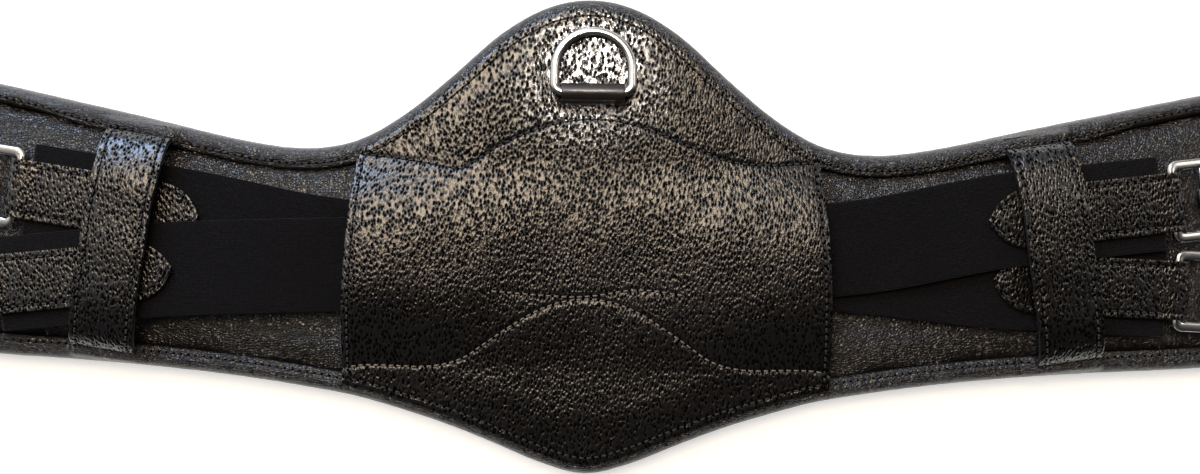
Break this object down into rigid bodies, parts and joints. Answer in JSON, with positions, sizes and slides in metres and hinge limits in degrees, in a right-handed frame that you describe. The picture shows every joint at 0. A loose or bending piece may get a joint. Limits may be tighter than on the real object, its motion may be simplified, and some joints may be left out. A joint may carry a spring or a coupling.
{
  "type": "saddle girth",
  "caption": "Short anatomical leather saddle girth with a padded body, a belly panel, crossing elastic straps under keepers, roller buckles and a ring for a clip.",
  "frame": {"origin": "under the middle of the body's outline, on the face of the lining that lies on the horse", "axes": "+X along the girth, towards the pair of buckles at the right; +Y across it, towards the ring at the horse's front; +Z out of the leather side"},
  "size_m": [0.6508, 0.206, 0.0286],
  "materials": {
    "soft_leather": "satin",
    "grained_leather": "gloss",
    "smooth_leather": "satin",
    "foam": "matte",
    "elastic": "matte",
    "steel": "polished"
  },
  "bodies": {
    "girth": {"lining": "soft_leather", "foam_pad": "foam", "outer_leather": "soft_leather", "upper_filler": "foam", "lower_filler": "foam", "centre_panel": "grained_leather", "keeper_left": "grained_leather", "keeper_right": "grained_leather", "keeper_left_lining": "soft_leather", "keeper_right_lining": "soft_leather", "elastic_over": "elastic", "elastic_under": "elastic", "ring_tab": "smooth_leather"},
    "ring": {"ring": "steel"},
    "strap_end_upper_left": {"billet_upper_left": "grained_leather"},
    "buckle_upper_left": {"frame_upper_left": "steel"},
    "tongue_upper_left": {"tongue_upper_left": "steel"},
    "roller_upper_left": {"roller_upper_left": "steel"},
    "strap_end_lower_left": {"billet_lower_left": "grained_leather"},
    "buckle_lower_left": {"frame_lower_left": "steel"},
    "tongue_lower_left": {"tongue_lower_left": "steel"},
    "roller_lower_left": {"roller_lower_left": "steel"},
    "strap_end_upper_right": {"billet_upper_right": "grained_leather"},
    "buckle_upper_right": {"frame_upper_right": "steel"},
    "tongue_upper_right": {"tongue_upper_right": "steel"},
    "roller_upper_right": {"roller_upper_right": "steel"},
    "strap_end_lower_right": {"billet_lower_right": "grained_leather"},
    "buckle_lower_right": {"frame_lower_right": "steel"},
    "tongue_lower_right": {"tongue_lower_right": "steel"},
    "roller_lower_right": {"roller_lower_right": "steel"}
  },
  "joints": [
    {"name": "stretch_upper_left", "type": "slide", "parent": "girth", "child": "strap_end_upper_left", "axis": [-0.989, 0.1478, 0], "range_m": [0, 0.025], "stiffness_N_per_m": 400, "deforming": ["elastic_under"]},
    {"name": "swing_upper_left", "type": "hinge", "parent": "strap_end_upper_left", "child": "buckle_upper_left", "pos_m": [-0.244, 0.0175, 0.0174], "axis": [0.1478, 0.989, 0], "range_deg": [0, 40]},
    {"name": "tongue_upper_left", "type": "hinge", "parent": "buckle_upper_left", "child": "tongue_upper_left", "pos_m": [-0.25735, 0.0195, 0.01762], "axis": [0.1478, 0.989, 0], "range_deg": [0, 120]},
    {"name": "roller_upper_left", "type": "hinge", "parent": "buckle_upper_left", "child": "roller_upper_left", "pos_m": [-0.28108, 0.02304, 0.018], "axis": [0.1478, 0.989, 0], "continuous": true},
    {"name": "stretch_lower_left", "type": "slide", "parent": "girth", "child": "strap_end_lower_left", "axis": [-0.9945, -0.1045, 0], "range_m": [0, 0.025], "stiffness_N_per_m": 400, "deforming": ["elastic_over"]},
    {"name": "swing_lower_left", "type": "hinge", "parent": "strap_end_lower_left", "child": "buckle_lower_left", "pos_m": [-0.254, -0.024, 0.0214], "axis": [-0.1045, 0.9945, 0], "range_deg": [0, 40]},
    {"name": "tongue_lower_left", "type": "hinge", "parent": "buckle_lower_left", "child": "tongue_lower_left", "pos_m": [-0.26737, -0.02541, 0.02018], "axis": [-0.1045, 0.9945, 0], "range_deg": [0, 120]},
    {"name": "roller_lower_left", "type": "hinge", "parent": "buckle_lower_left", "child": "roller_lower_left", "pos_m": [-0.29114, -0.0279, 0.018], "axis": [-0.1045, 0.9945, 0], "continuous": true},
    {"name": "stretch_upper_right", "type": "slide", "parent": "girth", "child": "strap_end_upper_right", "axis": [0.9925, 0.1219, 0], "range_m": [0, 0.025], "stiffness_N_per_m": 400, "deforming": ["elastic_over"]},
    {"name": "swing_upper_right", "type": "hinge", "parent": "strap_end_upper_right", "child": "buckle_upper_right", "pos_m": [0.248, 0.018, 0.0214], "axis": [0.1219, -0.9925, 0], "range_deg": [0, 40]},
    {"name": "tongue_upper_right", "type": "hinge", "parent": "buckle_upper_right", "child": "tongue_upper_right", "pos_m": [0.26134, 0.01964, 0.02018], "axis": [0.1219, -0.9925, 0], "range_deg": [0, 120]},
    {"name": "roller_upper_right", "type": "hinge", "parent": "buckle_upper_right", "child": "roller_upper_right", "pos_m": [0.28507, 0.02255, 0.018], "axis": [0.1219, -0.9925, 0], "continuous": true},
    {"name": "stretch_lower_right", "type": "slide", "parent": "girth", "child": "strap_end_lower_right", "axis": [0.9994, -0.0349, 0], "range_m": [0, 0.025], "stiffness_N_per_m": 400, "deforming": ["elastic_under"]},
    {"name": "swing_lower_right", "type": "hinge", "parent": "strap_end_lower_right", "child": "buckle_lower_right", "pos_m": [0.252, -0.0195, 0.0174], "axis": [-0.0349, -0.9994, 0], "range_deg": [0, 40]},
    {"name": "tongue_lower_right", "type": "hinge", "parent": "buckle_lower_right", "child": "tongue_lower_right", "pos_m": [0.26549, -0.01997, 0.01762], "axis": [-0.0349, -0.9994, 0], "range_deg": [0, 120]},
    {"name": "roller_lower_right", "type": "hinge", "parent": "buckle_lower_right", "child": "roller_lower_right", "pos_m": [0.28947, -0.02081, 0.018], "axis": [-0.0349, -0.9994, 0], "continuous": true},
    {"name": "ring_swing", "type": "hinge", "parent": "girth", "child": "ring", "pos_m": [0, 0.0615, 0.0205], "axis": [1, 0, 0], "range_deg": [0, 170]}
  ]
}
